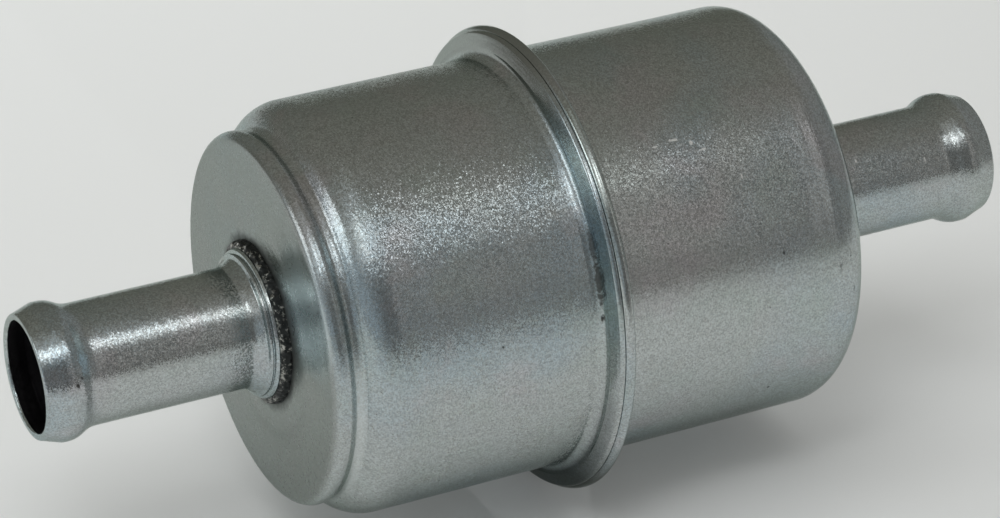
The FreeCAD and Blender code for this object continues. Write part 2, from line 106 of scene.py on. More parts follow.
def rounded(corners):
    """Outline of straight runs with rounded corners.

    Each corner is (x, radius from the axis, round), all in millimetres.  The
    outline is closed.  Returns the points and, for each, its corner's number.
    """
    points = []
    owners = []
    count = len(corners)
    for index, (x, r, size) in enumerate(corners):
        here = np.array([x, r])
        before = np.array(corners[index - 1][:2]) - here
        after = np.array(corners[(index + 1) % count][:2]) - here
        before_length = np.linalg.norm(before)
        after_length = np.linalg.norm(after)
        before = before / before_length
        after = after / after_length
        bend = math.pi - math.acos(max(-1.0, min(1.0, float(before @ after))))
        if size <= 0 or bend < LEAST_BEND:
            points.append(here)
            owners.append(index)
            continue
        reach = size * math.tan(bend / 2)
        start = here + before * reach
        middle = before + after
        middle = middle / np.linalg.norm(middle)
        centre = here + middle * (size / math.cos(bend / 2))
        steps = max(2, int(math.ceil(bend / ARC_STEP)))
        first = start - centre
        side = np.cross(np.append(before, 0), np.append(after, 0))[2]
        turn = math.copysign(bend, side) * -1.0
        for step in range(steps + 1):
            angle = turn * step / steps
            cosine, sine = math.cos(angle), math.sin(angle)
            x_turned = first[0] * cosine - first[1] * sine
            r_turned = first[0] * sine + first[1] * cosine
            points.append(centre + np.array([x_turned, r_turned]))
            owners.append(index)
    return np.array(points), owners


def divided(points, owners, longest):
    """Split the long runs of an outline so that no run is over the longest."""
    out = []
    owned = []
    count = len(points)
    for index in range(count):
        start = points[index]
        end = points[(index + 1) % count]
        pieces = max(1, int(math.ceil(np.linalg.norm(end - start) / longest)))
        for piece in range(pieces):
            out.append(start + (end - start) * (piece / pieces))
            owned.append(owners[index])
    return np.array(out), owned


def wobble(points, amount, size, seed):
    """Smooth radial unevenness of formed sheet, in metres, for Nx3 points."""
    shift = Vector((seed, seed * 1.7, -seed))
    return np.array([noise.noise(Vector(p) / size + shift) * amount for p in points])


def turned(
    name,
    outline,
    outward,
    materials,
    faces_of,
    longest,
    uneven=0.0,
    seed=1.0,
    segments=SEGMENTS,
):
    """Solid of revolution about X from a closed outline.

    outward is -1 for pieces drawn from the inlet side.  faces_of maps a corner
    number to the material of the run that leaves it.  longest is the longest run
    of the mesh and uneven the height of its unevenness, both in millimetres.
    """
    points, owners = divided(*rounded(outline), longest)
    count = len(points)
    angles = np.arange(segments) * (FULL_TURN / segments)
    x = np.repeat(points[:, 0][None, :], segments, 0) * outward
    r = np.repeat(points[:, 1][None, :], segments, 0)
    y = r * np.cos(angles)[:, None]
    z = r * np.sin(angles)[:, None]
    co = np.stack([x, y, z], -1).reshape(-1, 3) * MM
    if uneven > 0:
        push = wobble(co, uneven * MM, UNEVEN_SIZE, seed)
        radial = co * np.array([0, 1, 1])
        radial = radial / np.maximum(np.linalg.norm(radial, axis=1), 1e-9)[:, None]
        co = co + radial * push[:, None]
    ring = np.arange(segments)[:, None]
    along = np.arange(count)[None, :]
    following = (ring + 1) % segments
    beyond = (along + 1) % count
    quads = np.stack(
        [
            ring * count + along,
            ring * count + beyond,
            following * count + beyond,
            following * count + along,
        ],
        -1,
    ).reshape(-1, 4)
    if outward > 0:
        quads = quads[:, ::-1]
    mesh = bpy.data.meshes.new(name)
    mesh.from_pydata(co.tolist(), [], quads.tolist())
    for material in materials:
        mesh.materials.append(material)
    slots = np.array([faces_of.get(owner, 0) for owner in owners])
    mesh.polygons.foreach_set("material_index", np.tile(slots, segments))
    mesh.polygons.foreach_set("use_smooth", np.ones(len(quads), bool))
    mesh.update()
    mesh.set_sharp_from_angle(angle=SHARP_ANGLE)
    piece = bpy.data.objects.new(name, mesh)
    bpy.context.scene.collection.objects.link(piece)
    return piece


# ---------------------------------------------------------------- materials


class Nodes:
    """Short names for the nodes of one tree."""

    def __init__(self, tree):
        self.tree = tree
        self.tree.nodes.clear()

    def add(self, kind, **settings):
        made = self.tree.nodes.new(kind)
        for key, value in settings.items():
            setattr(made, key, value)
        return made

    def feed(self, socket, value):
        if isinstance(value, bpy.types.NodeSocket):
            self.tree.links.new(value, socket)
        else:
            socket.default_value = value

    def math(self, operation, a, b=0.0):
        made = self.add("ShaderNodeMath", operation=operation)
        self.feed(made.inputs[0], a)
        self.feed(made.inputs[1], b)
        return made.outputs[0]

    def parts(self, vector):
        made = self.add("ShaderNodeSeparateXYZ")
        self.feed(made.inputs[0], vector)
        return made.outputs

    def span(self, value, low, high, to_low=0.0, to_high=1.0, smooth=False):
        """Clamped ramp: to_low where the value is low, to_high where it is high."""
        made = self.add("ShaderNodeMapRange", clamp=True)
        if smooth:
            made.interpolation_type = "SMOOTHSTEP"
        self.feed(made.inputs["Value"], value)
        made.inputs["From Min"].default_value = low
        made.inputs["From Max"].default_value = high
        made.inputs["To Min"].default_value = to_low
        made.inputs["To Max"].default_value = to_high
        return made.outputs["Result"]

    def blend(self, share, first, second):
        """Colour between two others: the first at share 0, the second at share 1."""
        made = self.add("ShaderNodeMix", data_type="RGBA")
        self.feed(made.inputs["Factor"], share)
        for socket, value in ((made.inputs[6], first), (made.inputs[7], second)):
            if isinstance(value, tuple):
                value = (*value, 1.0)
            self.feed(socket, value)
        return made.outputs[2]


class Graph(Nodes):
    """Nodes of one material, with textures that follow the surface."""

    def __init__(self, name):
        self.material = bpy.data.materials.new(name)
        self.material.use_nodes = True
        super().__init__(self.material.node_tree)
        output = self.add("ShaderNodeOutputMaterial")
        self.shader = self.add("ShaderNodeBsdfPrincipled")
        self.tree.links.new(self.shader.outputs["BSDF"], output.inputs["Surface"])
        self.place = self.add("ShaderNodeTexCoord").outputs["Object"]

    def scaled(self, vector, factors):
        made = self.add("ShaderNodeVectorMath", operation="MULTIPLY")
        self.feed(made.inputs[0], vector)
        made.inputs[1].default_value = factors
        return made.outputs[0]

    def off_axis(self):
        """Distance from the filter's axis."""
        made = self.add("ShaderNodeVectorMath", operation="LENGTH")
        self.feed(made.inputs[0], self.scaled(self.place, (0.0, 1.0, 1.0)))
        return made.outputs["Value"]

    def radial(self, off, share):
        """Place that changes with the distance from the axis and hardly round it."""
        made = self.add("ShaderNodeCombineXYZ")
        spread = self.parts(self.scaled(self.place, (1.0, share, share)))
        self.feed(made.inputs[0], off)
        self.feed(made.inputs[1], spread["Y"])
        self.feed(made.inputs[2], spread["Z"])
        return made.outputs[0]

    def spot(self, centre, length, breadth, seed):
        """Ragged spot round a place: 1 in its middle and 0 outside."""
        made = self.add("ShaderNodeVectorMath", operation="SUBTRACT")
        self.feed(made.inputs[0], self.place)
        made.inputs[1].default_value = centre
        shrunk = self.scaled(made.outputs[0], (1 / length, 1 / breadth, 1 / breadth))
        size = self.add("ShaderNodeVectorMath", operation="LENGTH")
        self.feed(size.inputs[0], shrunk)
        ragged = self.noise(2600.0, 3.0, 0.7, 0.2, offset=seed + 31)
        edge = self.math("ADD", size.outputs["Value"], self.span(ragged, 0.3, 0.7, -0.45, 0.45))
        return self.span(edge, 1.05, 0.55)

    def noise(self, scale, detail=2.0, rough=0.5, distortion=0.0, place=None, offset=0.0):
        made = self.add("ShaderNodeTexNoise", noise_dimensions="4D")
        self.feed(made.inputs["Vector"], self.place if place is None else place)
        made.inputs["W"].default_value = offset
        made.inputs["Scale"].default_value = scale
        made.inputs["Detail"].default_value = detail
        made.inputs["Roughness"].default_value = rough
        made.inputs["Distortion"].default_value = distortion
        return made.outputs["Fac"]

    def cells(self, scale, output="Distance"):
        made = self.add("ShaderNodeTexVoronoi")
        self.feed(made.inputs["Vector"], self.place)
        made.inputs["Scale"].default_value = scale
        return made.outputs[output]

    def bump(self, height, depth, strength=1.0, under=None):
        made = self.add("ShaderNodeBump")
        self.feed(made.inputs["Height"], height)
        made.inputs["Distance"].default_value = depth
        made.inputs["Strength"].default_value = strength
        if under is not None:
            self.feed(made.inputs["Normal"], under)
        return made.outputs["Normal"]

    def flakes(self, scale, tilt, under):
        """Normals of small crystal facets, each leaning its own way."""
        lean = self.add("ShaderNodeVectorMath", operation="SUBTRACT")
        self.feed(lean.inputs[0], self.cells(scale, "Color"))
        lean.inputs[1].default_value = (0.5, 0.5, 0.5)
        sized = self.add("ShaderNodeVectorMath", operation="SCALE")
        self.feed(sized.inputs[0], lean.outputs[0])
        self.feed(sized.inputs["Scale"], tilt)
        total = self.add("ShaderNodeVectorMath", operation="ADD")
        self.feed(total.inputs[0], under)
        self.feed(total.inputs[1], sized.outputs[0])
        unit = self.add("ShaderNodeVectorMath", operation="NORMALIZE")
        self.feed(unit.inputs[0], total.outputs[0])
        return unit.outputs[0]

    def finish(self, colour, roughness, metallic, normal, **others):
        self.feed(
            self.shader.inputs["Base Color"],
            (*colour, 1.0) if isinstance(colour, tuple) else colour,
        )
        self.feed(self.shader.inputs["Roughness"], roughness)
        self.feed(self.shader.inputs["Metallic"], metallic)
        self.feed(self.shader.inputs["Normal"], normal)
        for key, value in others.items():
            self.feed(self.shader.inputs[key.replace("_", " ")], value)
        return self.material


# Colours of the plating, of bare or worn metal and of dirt, and tints for painted shade,
# painted light, painted reflection and painted glints; the grime tint serves both dirt and
# painted shade.
ZINC = (0.625, 0.674, 0.682)
ZINC_BLUE = (0.519, 0.642, 0.720)
ZINC_GREEN = (0.560, 0.666, 0.636)
ZINC_ROSE = (0.666, 0.649, 0.689)
ZINC_DULL = (0.507, 0.513, 0.486)
GRAIN_DARK = (0.210, 0.219, 0.210)
PAINTED_SHADE_ZINC = (0.318, 0.333, 0.320)
PAINTED_REFLECTION_ZINC = (0.78, 0.88, 0.92)
GROOVE_PAINTED_LIGHT = (0.80, 0.84, 0.83)
EDGE_TINT = (0.64, 0.68, 0.65, 1.0)
PIT_DARK = (0.035, 0.033, 0.032)
SOOT = (0.045, 0.047, 0.045)
DIRT_AND_PAINTED_SHADE = (0.040, 0.036, 0.032)
NICK_PAINTED_GLINT = (0.97, 0.98, 0.97)

# Zones of a can's skin, in metres: where each starts to show and where it is full.
# BEHIND_FACE is measured back from the end face, STATION outward from the middle
# and OFF from the axis; Y and Z are the frame's own.
RIM_BEHIND_FACE = (4.8 * MM, 3.0 * MM)
FACE_BEHIND_FACE = (0.4 * MM, 0.1 * MM)
GROOVE_BEHIND_FACE = (0.8 * MM, 1.3 * MM)
SEAM_STATION = (3.0 * MM, 1.4 * MM)
FLANGE_OFF = (16.7 * MM, 17.1 * MM)
FACE_OFF = (14.9 * MM, 14.3 * MM)
GROOVE_OFF = (15.0 * MM, 14.6 * MM)
SOOT_OFF = (7.3 * MM, 6.4 * MM)
SOOT_RAGGED = 0.3 * MM
# The flange's back and foot zones place painted shade, and the groove's low zone painted light.
FLANGE_BACK_Y = (-7.5 * MM, -2.0 * MM)
FLANGE_FOOT_Z = (-7.5 * MM, -13.5 * MM)
GROOVE_LOW_Z = (5.0 * MM, -1.0 * MM)
LIVELY_Z = (8.0 * MM, 11.8 * MM)
PAINTED_SHINE_REACH = (6.0 * MM, 2.6 * MM)
POLISH_LENGTH = 1.4 * MM

# Crystals and pits of the plating, in cells a metre.
TONE_CELLS = 9500.0
FACET_CELLS = 12000.0
COARSE_FACET_CELLS = 5600.0
PIT_CELLS = 330.0
SMALL_PIT_CELLS = 1100.0


class Plate:
    """Zinc skin while it is built up: its colour, roughness and lean of facets."""

    def __init__(self, g, colour, rough, lean):
        self.g = g
        self.colour = colour
        self.rough = rough
        self.lean = lean

    def tint(self, share, colour):
        """Cover a share of the skin with another colour."""
        self.colour = self.g.blend(share, self.colour, colour)

    def roughen(self, share, amount):
        added = self.g.math("MULTIPLY", share, amount)
        self.rough = self.g.math("ADD", self.rough, added)

    def calm(self, share, kept):
        """Bring the lean of the facets down to the kept part where share is 1."""
        kept_share = self.g.span(share, 0.0, 1.0, 1.0, kept)
        self.lean = self.g.math("MULTIPLY", self.lean, kept_share)


def zinc_colour(g, mottle, speck, seed):
    """Tints and stains of the plating with the tone of each crystal."""
    fine = g.noise(7600.0, 1.0, 0.6, 0.0, offset=seed)
    stain = g.noise(95.0, 4.0, 0.62, 1.2, offset=seed + 7)
    cloud = g.noise(62.0, 2.0, 0.5, 0.6, offset=seed + 9)
    runs = g.noise(900.0, 3.0, 0.6, 0.2, g.scaled(g.place, (0.10, 1.0, 1.0)), seed + 4)
    colour = g.blend(g.span(cloud, 0.42, 0.68, smooth=True), ZINC, ZINC_BLUE)
    colour = g.blend(g.span(stain, 0.52, 0.72, 0.0, 0.75), colour, ZINC_GREEN)
    colour = g.blend(g.span(stain, 0.47, 0.34, 0.0, 0.70), colour, ZINC_ROSE)
    dull = g.math("MULTIPLY", g.span(mottle, 0.52, 0.75), g.span(runs, 0.45, 0.7))
    colour = g.blend(g.math("MULTIPLY", dull, 0.75), colour, ZINC_DULL)
    colour = g.blend(g.span(speck, 0.55, 0.80, 0.0, 0.5), colour, ZINC_DULL)
    colour = g.blend(g.span(fine, 0.38, 0.66, 0.0, 0.5), colour, ZINC_DULL)
    tone = g.parts(g.cells(TONE_CELLS, "Color"))["Y"]
    colour = g.blend(g.span(tone, 0.0, 1.0, 0.0, 0.58), colour, GRAIN_DARK)
    return colour, cloud


def chosen_pits(g, scale, size, share):
    """Round pits in a few of the cells: size is their edge and share picks the cells."""
    chosen = g.parts(g.cells(scale, "Color"))["X"]
    return g.math("MULTIPLY", g.span(g.cells(scale), *size), g.span(chosen, *share))


def add_pits(g, plate):
    """Dark pits of two sizes."""
    large = chosen_pits(g, PIT_CELLS, (0.055, 0.030), (0.90, 0.91))
    small = chosen_pits(g, SMALL_PIT_CELLS, (0.11, 0.06), (0.955, 0.965))
    pit = g.math("MAXIMUM", large, g.math("MULTIPLY", small, 0.75))
    plate.tint(g.math("MULTIPLY", pit, 0.8), PIT_DARK)


def dress_flange(g, plate, flange, spread):
    """Smoother flange, with painted shade on its back half and a painted contact shadow at its
    foot.
    """
    plate.calm(flange, 0.40)
    plate.roughen(flange, -0.06)
    # Painted shade: the back half of the flange ring is darkened.
    back = g.math("MULTIPLY", flange, g.span(spread["Y"], *FLANGE_BACK_Y, 0.0, 0.8))
    plate.tint(back, PAINTED_SHADE_ZINC)
    # Painted shadow: the foot of the flange is darkened with the dark grime tint.
    painted_shadow_foot = g.math("MULTIPLY", flange, g.span(spread["Z"], *FLANGE_FOOT_Z, 0.0, 0.8))
    plate.tint(painted_shadow_foot, DIRT_AND_PAINTED_SHADE)


def behind_face(g, station, face_at, zone):
    """Share of a zone that is measured back from the end face."""
    return g.span(station, face_at - zone[0], face_at - zone[1])


def dress_groove(g, plate, station, off, height, face_at):
    """Painted light: a paler tint in the lower half of the groove behind the rim."""
    low = g.math("MULTIPLY", g.span(off, *GROOVE_OFF), g.span(height, *GROOVE_LOW_Z, 0.0, 0.4))
    share = g.math("MULTIPLY", low, behind_face(g, station, face_at, GROOVE_BEHIND_FACE))
    plate.tint(share, GROOVE_PAINTED_LIGHT)


def dress_face(g, plate, flat, off, painted_reflection_at, seed):
    """Flat end face in painted shade, a patch of painted reflection, and soot beside the
    collar.
    """
    plate.roughen(flat, 0.05)
    plate.calm(flat, 0.2)
    # Painted shade: the flat face is tinted toward a darker copy of the zinc.
    plate.tint(flat, g.blend(0.72, plate.colour, PAINTED_SHADE_ZINC))
    # Painted reflection: a paler patch beside the collar on the end face.
    if painted_reflection_at is not None:
        near = g.add("ShaderNodeVectorMath", operation="DISTANCE")
        g.feed(near.inputs[0], g.place)
        near.inputs[1].default_value = painted_reflection_at
        painted_shine = g.span(near.outputs["Value"], *PAINTED_SHINE_REACH, 0.0, 0.9, smooth=True)
        plate.tint(g.math("MULTIPLY", painted_shine, flat), PAINTED_REFLECTION_ZINC)
    ragged = g.noise(520.0, 4.0, 0.7, 0.3, offset=seed + 12)
    reach = g.math("ADD", off, g.span(ragged, 0.3, 0.7, -SOOT_RAGGED, SOOT_RAGGED))
    black = g.math("MULTIPLY", g.span(reach, *SOOT_OFF, 0.0, 0.8), flat)
    plate.tint(black, SOOT)
    plate.roughen(black, 0.35)


def zinc(
    name,
    face_at=None,
    outward=1,
    seed=0.0,
    grain=1.0,
    marks=(),
    smooth_to=None,
    painted_reflection_at=None,
    nicks=(),
):
    """Zinc plate over drawn steel: speckled grain, draw marks, tints and stains.

    face_at is the station of a can's flat end face; a tube has none.  marks are
    dark spots: (place, size along the axis, size round it, darkness); most are stains
    and pits, while those on the inlet bead are a painted dark reflection.  Metal
    nearer the can than smooth_to is polished.  painted_reflection_at is the middle
    of a patch of painted reflection, a paler tint, on the end face.  nicks are small
    scars painted bright as glints: (place, size along the axis, size round it).  A
    can also gets painted shade on its end face and on its flange, and painted light
    in the lower half of its groove.
    """
    g = Graph(name)
    spread = g.parts(g.place)
    height = spread["Z"]
    off = g.off_axis()
    station = g.math("MULTIPLY", spread["X"], float(outward))

    speck = g.noise(3600.0, 1.0, 0.5, 0.3, offset=seed + 3)
    mottle = g.noise(420.0, 3.0, 0.6, 0.3, offset=seed + 5)
    rings = g.noise(5200.0, 2.0, 0.6, 0.0, g.scaled(g.place, (1.0, 0.012, 0.012)), seed + 2)
    colour, cloud = zinc_colour(g, mottle, speck, seed)
    rough = g.span(mottle, 0.3, 0.7, 0.130 + 0.08 * grain, 0.180 + 0.08 * grain)
    rough = g.math("ADD", rough, g.span(speck, 0.3, 0.7, -0.03, 0.04))
    lean = g.span(mottle, 0.3, 0.7, 0.31 * grain, 0.22 * grain)
    plate = Plate(g, colour, rough, lean)
    add_pits(g, plate)

    if face_at is not None:
        rim = behind_face(g, station, face_at, RIM_BEHIND_FACE)
        formed = g.math("MAXIMUM", rim, g.span(station, *SEAM_STATION))
        plate.lean = g.math("MULTIPLY", plate.lean, g.span(height, *LIVELY_Z, 0.55, 1.0))
        plate.calm(formed, 0.40)
        dress_flange(g, plate, g.span(off, *FLANGE_OFF), spread)
        dress_groove(g, plate, station, off, height, face_at)
        face = behind_face(g, station, face_at, FACE_BEHIND_FACE)
        flat = g.math("MULTIPLY", face, g.span(off, *FACE_OFF))
        dress_face(g, plate, flat, off, painted_reflection_at, seed)
    if smooth_to is not None:
        polished = g.span(station, smooth_to, smooth_to - POLISH_LENGTH)
        plate.roughen(polished, -0.05)
        plate.calm(polished, 0.5)
    # Dark spots: stains and pits, and on the inlet bead a painted dark reflection.
    for spot, length, breadth, darkness in marks:
        dark = g.math("MULTIPLY", g.spot(spot, length, breadth, seed), darkness)
        plate.tint(dark, DIRT_AND_PAINTED_SHADE)
        plate.roughen(dark, 0.3)
    # Nicks: small scars, painted bright as glints.
    for spot, length, breadth in nicks:
        scar = g.spot(spot, length, breadth, seed)
        plate.tint(g.math("MULTIPLY", scar, 0.9), NICK_PAINTED_GLINT)
        plate.roughen(scar, 0.3)

    shape = g.bump(cloud, 0.00010, 0.55)
    shape = g.bump(mottle, 0.000014, 0.55, shape)
    shape = g.bump(rings, 0.0000024, 1.0, shape)
    if face_at is not None:
        ridges = g.noise(760.0, 1.0, 0.5, 0.0, g.scaled(g.place, (1.0, 0.03, 0.03)), seed + 6)
        circles = g.noise(900.0, 3.0, 0.5, 0.0, g.radial(off, 0.04), seed + 1)
        shape = g.bump(g.math("MULTIPLY", ridges, rim), 0.00007, 1.0, shape)
        shape = g.bump(g.math("MULTIPLY", rings, formed), 0.000010, 1.0, shape)
        shape = g.bump(g.math("MULTIPLY", circles, flat), 0.000065, 1.0, shape)
    shape = g.bump(speck, 0.000002 * grain, 1.0, shape)
    shape = g.flakes(FACET_CELLS, plate.lean, shape)
    shape = g.flakes(COARSE_FACET_CELLS, g.math("MULTIPLY", plate.lean, 0.22), shape)
    return g.finish(plate.colour, plate.rough, 1.0, shape, Specular_Tint=EDGE_TINT)


def dark_bore(name):
    """Inside of a tube or can: thin plating over dark steel."""
    g = Graph(name)
    fine = g.noise(3200.0, 3.0, 0.6)
    bands = g.noise(900.0, 3.0, 0.6, 0.0, g.scaled(g.place, (1.0, 0.1, 0.1)))
    colour = g.blend(g.span(bands, 0.35, 0.7), (0.045, 0.042, 0.048), (0.11, 0.105, 0.11))
    rough = g.span(fine, 0.3, 0.7, 0.38, 0.58)
    shape = g.bump(fine, 0.000012)
    return g.finish(colour, rough, 1.0, shape)


def braze(name, crest, outward):
    """Sooty, granular braze metal with bright grains, most of them near its crest."""
    g = Graph(name)
    station = g.math("MULTIPLY", g.parts(g.place)["X"], float(outward))
    rubbed = g.span(station, crest - 0.00034, crest - 0.00008, 0.0, 0.10)
    grains = g.math("ADD", g.noise(2600.0, 3.0, 0.7, 0.3), rubbed)
    lumps = g.noise(900.0, 3.0, 0.6)
    bright = g.math("MULTIPLY", g.span(grains, 0.57, 0.68), g.span(lumps, 0.42, 0.58))
    colour = g.blend(bright, (0.030, 0.033, 0.033), (0.52, 0.52, 0.48))
    rough = g.span(grains, 0.35, 0.68, 0.62, 0.30)
    shape = g.bump(lumps, 0.00012)
    shape = g.bump(grains, 0.00004, 1.0, shape)
    return g.finish(colour, rough, 0.8, shape)


def plain_metal(name, colour, dull, rough, line_axis=(1.0, 0.03, 0.03)):
    """Tinplate or bright steel with rolling marks and a little staining."""
    g = Graph(name)
    lines = g.noise(2600.0, 3.0, 0.6, 0.0, g.scaled(g.place, line_axis))
    patches = g.noise(240.0, 4.0, 0.6, 0.8)
    fine = g.noise(4200.0, 2.0, 0.5)
    tint = g.blend(g.span(patches, 0.45, 0.68), colour, dull)
    roughness = g.span(lines, 0.3, 0.7, rough - 0.06, rough + 0.06)
    shape = g.bump(lines, 0.000006)
    shape = g.bump(fine, 0.000004, 1.0, shape)
    return g.finish(tint, roughness, 1.0, shape)


def paper(name):
    """Resin-treated filter paper: buff fibres with a fine open grain."""
    g = Graph(name)
    fibres = g.noise(2400.0, 5.0, 0.7, 1.4)
    threads = g.noise(1500.0, 3.0, 0.6, 2.2, g.scaled(g.place, (0.25, 1.0, 1.0)))
    patches = g.noise(160.0, 3.0, 0.6)
    colour = g.blend(g.span(patches, 0.35, 0.7), (0.72, 0.58, 0.34), (0.62, 0.47, 0.25))
    colour = g.blend(g.span(threads, 0.55, 0.75, 0.0, 0.6), colour, (0.84, 0.74, 0.54))
    colour = g.blend(g.span(fibres, 0.62, 0.80, 0.0, 0.7), colour, (0.42, 0.29, 0.14))
    rough = g.span(fibres, 0.3, 0.7, 0.78, 0.95)
    shape = g.bump(threads, 0.00004)
    shape = g.bump(fibres, 0.00005, 1.0, shape)
    return g.finish(colour, rough, 0.0, shape, Specular_IOR_Level=0.3)


def plastisol(name):
    """Cast potting with a slightly wavy skin and a few bubbles."""
    g = Graph(name)
    waves = g.noise(380.0, 3.0, 0.5, 0.5)
    bubbles = g.span(g.cells(1500.0), 0.28, 0.14)
    colour = g.blend(g.span(waves, 0.35, 0.7), (0.58, 0.17, 0.05), (0.44, 0.12, 0.04))
    colour = g.blend(g.math("MULTIPLY", bubbles, 0.6), colour, (0.22, 0.06, 0.03))
    rough = g.span(waves, 0.3, 0.7, 0.34, 0.5)
    shape = g.bump(waves, 0.00012)
    shape = g.bump(bubbles, -0.00004, 1.0, shape)
    return g.finish(colour, rough, 0.0, shape)


def rubber(name):
    """Moulded black rubber with a fine matt skin and a dusty bloom."""
    g = Graph(name)
    skin = g.noise(3600.0, 3.0, 0.6)
    bloom = g.noise(260.0, 4.0, 0.65, 0.8)
    colour = g.blend(g.span(bloom, 0.5, 0.75), (0.016, 0.016, 0.017), (0.06, 0.06, 0.058))
    rough = g.span(skin, 0.3, 0.7, 0.52, 0.72)
    return g.finish(colour, rough, 0.0, g.bump(skin, 0.00002))


def fibre(name):
    """Pressed gasket board."""
    g = Graph(name)
    flecks = g.noise(2100.0, 4.0, 0.7, 1.0)
    patches = g.noise(420.0, 3.0, 0.6)
    colour = g.blend(g.span(patches, 0.35, 0.7), (0.20, 0.13, 0.07), (0.14, 0.10, 0.07))
    colour = g.blend(g.span(flecks, 0.6, 0.75), colour, (0.36, 0.28, 0.18))
    return g.finish(colour, g.span(flecks, 0.3, 0.7, 0.75, 0.92), 0.0, g.bump(flecks, 0.00004))


# ---------------------------------------------------------------- the filter


def end_of(node, side):
    """End of a node along X, in millimetres outward from the middle."""
    low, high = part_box(node)
    return (high.x if side > 0 else -low.x) / MM


def radius_of(node):
    """Greatest radius of a node, in millimetres."""
    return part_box(node)[1].z / MM


# Outlines are lists of corners in millimetres, as rounded() takes them: the station
# outward from the middle, the radius from the axis, and the round of the corner.


def add_inlet_shell(inside):
    """Inlet cup: a raised rim, a narrow waist, a shoulder and a slanted flange."""
    inlet_end = end_of("inlet_shell", -1)
    edge = radius_of("inlet_shell")
    inlet_outline = [
        (inlet_end, 4.8, 0),
        (inlet_end, 8.6, 6.0),
        (inlet_end - 0.10, 10.2, 10.0),
        (inlet_end, 12.2, 10.0),
        (inlet_end, 15.35, 0.95),
        (inlet_end - 2.2, 14.36, 0.75),
        (inlet_end - 3.45, 16.45, 3.1),
        (0.78, 16.45, 0.85),
        (0.78, 17.38, 0.10),
        (0.34, edge, 0.34),
        (0.06, edge, 0.03),
        (0.10, 17.15, 0.5),
        (0.90, 15.85, 0.8),
        (inlet_end - 5.4, 15.85, 2.0),
        (inlet_end - 2.4, 13.72, 0.5),
        (inlet_end - 0.6, 14.75, 0.2),
        (inlet_end - 0.6, 4.8, 0),
    ]
    inner_runs = {number: 1 for number in range(11, 16)}
    crease_marks = [
        ((-0.00096, -0.0143, 0.0085), 0.00022, 0.0017, 0.75),
        ((-0.00096, -0.0155, 0.0062), 0.00025, 0.0021, 0.78),
        ((-0.00092, -0.01615, 0.00338), 0.00022, 0.00045, 0.9),
    ]
    # Middle of the patch of painted reflection on the end face.
    painted_mirror_patch = (-inlet_end * MM, -0.0092, 0.0056)
    skin = zinc(
        "zinc_inlet_can", inlet_end * MM, -1, 4.0, 1.0, crease_marks, painted_reflection_at=painted_mirror_patch
    )
    inlet = turned(
        "inlet_can_skin", inlet_outline, -1, [skin, inside], inner_runs, 0.8, 0.04, 3.0
    )
    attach(inlet, "housing")
    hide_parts("inlet_shell")


def add_outlet_shell(inside):
    """Outlet cup: plain, with a rounded end and a raised lip round its flange."""
    outlet_end = end_of("outlet_shell", 1)
    lip = radius_of("outlet_shell")
    outlet_outline = [
        (outlet_end, 4.8, 0),
        (outlet_end, 16.45, 2.4),
        (0.75, 16.45, 0.70),
        (0.75, lip, 0.25),
        (-0.06, lip, 0.50),
        (-0.06, 18.2, 0),
        (0.15, 18.2, 0),
        (0.15, 17.15, 0.5),
        (1.40, 15.85, 0.8),
        (outlet_end - 0.6, 15.85, 1.8),
        (outlet_end - 0.6, 4.8, 0),
    ]
    inner_runs = {number: 1 for number in range(6, 10)}
    end_marks = [
        ((0.01996, -0.0161, 0.0027), 0.00018, 0.00030, 0.45),
        ((0.0212, -0.0160, 0.00035), 0.00015, 0.0005, 0.6),
    ]
    cup_nicks = [
        ((0.00674, -0.00987, 0.01316), 0.00022, 0.00010),
        ((0.00839, -0.00969, 0.01329), 0.00038, 0.00012),
        ((0.00972, -0.01015, 0.01295), 0.00016, 0.00020),
        ((0.01049, -0.01069, 0.01250), 0.00034, 0.00013),
        ((0.01289, -0.01264, 0.01053), 0.00010, 0.00030),
    ]
    skin = zinc("zinc_outlet_can", outlet_end * MM, 1, 11.0, 0.5, end_marks, nicks=cup_nicks)
    outlet = turned(
        "outlet_can_skin", outlet_outline, 1, [skin, inside], inner_runs, 0.8, 0.05, 8.0
    )
    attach(outlet, "housing")
    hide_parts("outlet_shell")


def tube_outline(end, tip, inner_end):
    """Hose tube with its bead at the tip, and the flared root and collar at the can."""
    return [
        (tip, 4.30, 0.22),
        (tip, 4.90, 0.24),
        (tip - 0.35, 4.99, 0.6),
        (tip - 1.70, 5.44, 0.75),
        (tip - 2.64, 5.44, 2.0),
        (tip - 3.88, 4.7625, 2.2),
        (end + 2.20, 4.7625, 1.1),
        (end + 1.46, 5.30, 0.25),
        (end + 1.34, 5.62, 0.09),
        (end + 1.18, 5.66, 0.07),
        (end + 1.08, 5.56, 0.05),
        (end + 0.98, 5.86, 0.09),
        (end + 0.78, 5.95, 0.10),
        (end + 0.64, 5.90, 0.06),
        (end + 0.60, 4.7625, 0),
        (inner_end, 4.7625, 0.1),
        (inner_end, 4.06, 0.1),
        (tip - 3.6, 4.06, 0.4),
        (tip - 2.7, 4.70, 0.5),
        (tip - 1.7, 4.70, 0.5),
    ]


def add_tube(label, shell, side, seed, marks=(), nicks=()):
    """Tube skin between a can's end and the tip; returns the station of that end."""
    end = end_of(shell, side)
    tip = end_of(label, side)
    low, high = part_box(label)
    inner_end = (low.x if side > 0 else -high.x) / MM
    inner_runs = {number: 1 for number in range(16, 20)}
    tube = turned(
        label + "_skin",
        tube_outline(end, tip, inner_end),
        side,
        [
            zinc(
                "zinc_" + label,
                outward=side,
                seed=seed,
                grain=0.42,
                marks=marks,
                smooth_to=(end + 1.9) * MM,
                nicks=nicks,
            ),
            dark_bore("bore_" + label),
        ],
        inner_runs,
        0.5,
        0.015,
        seed,
    )
    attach(tube, "housing")
    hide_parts(label)
    return end


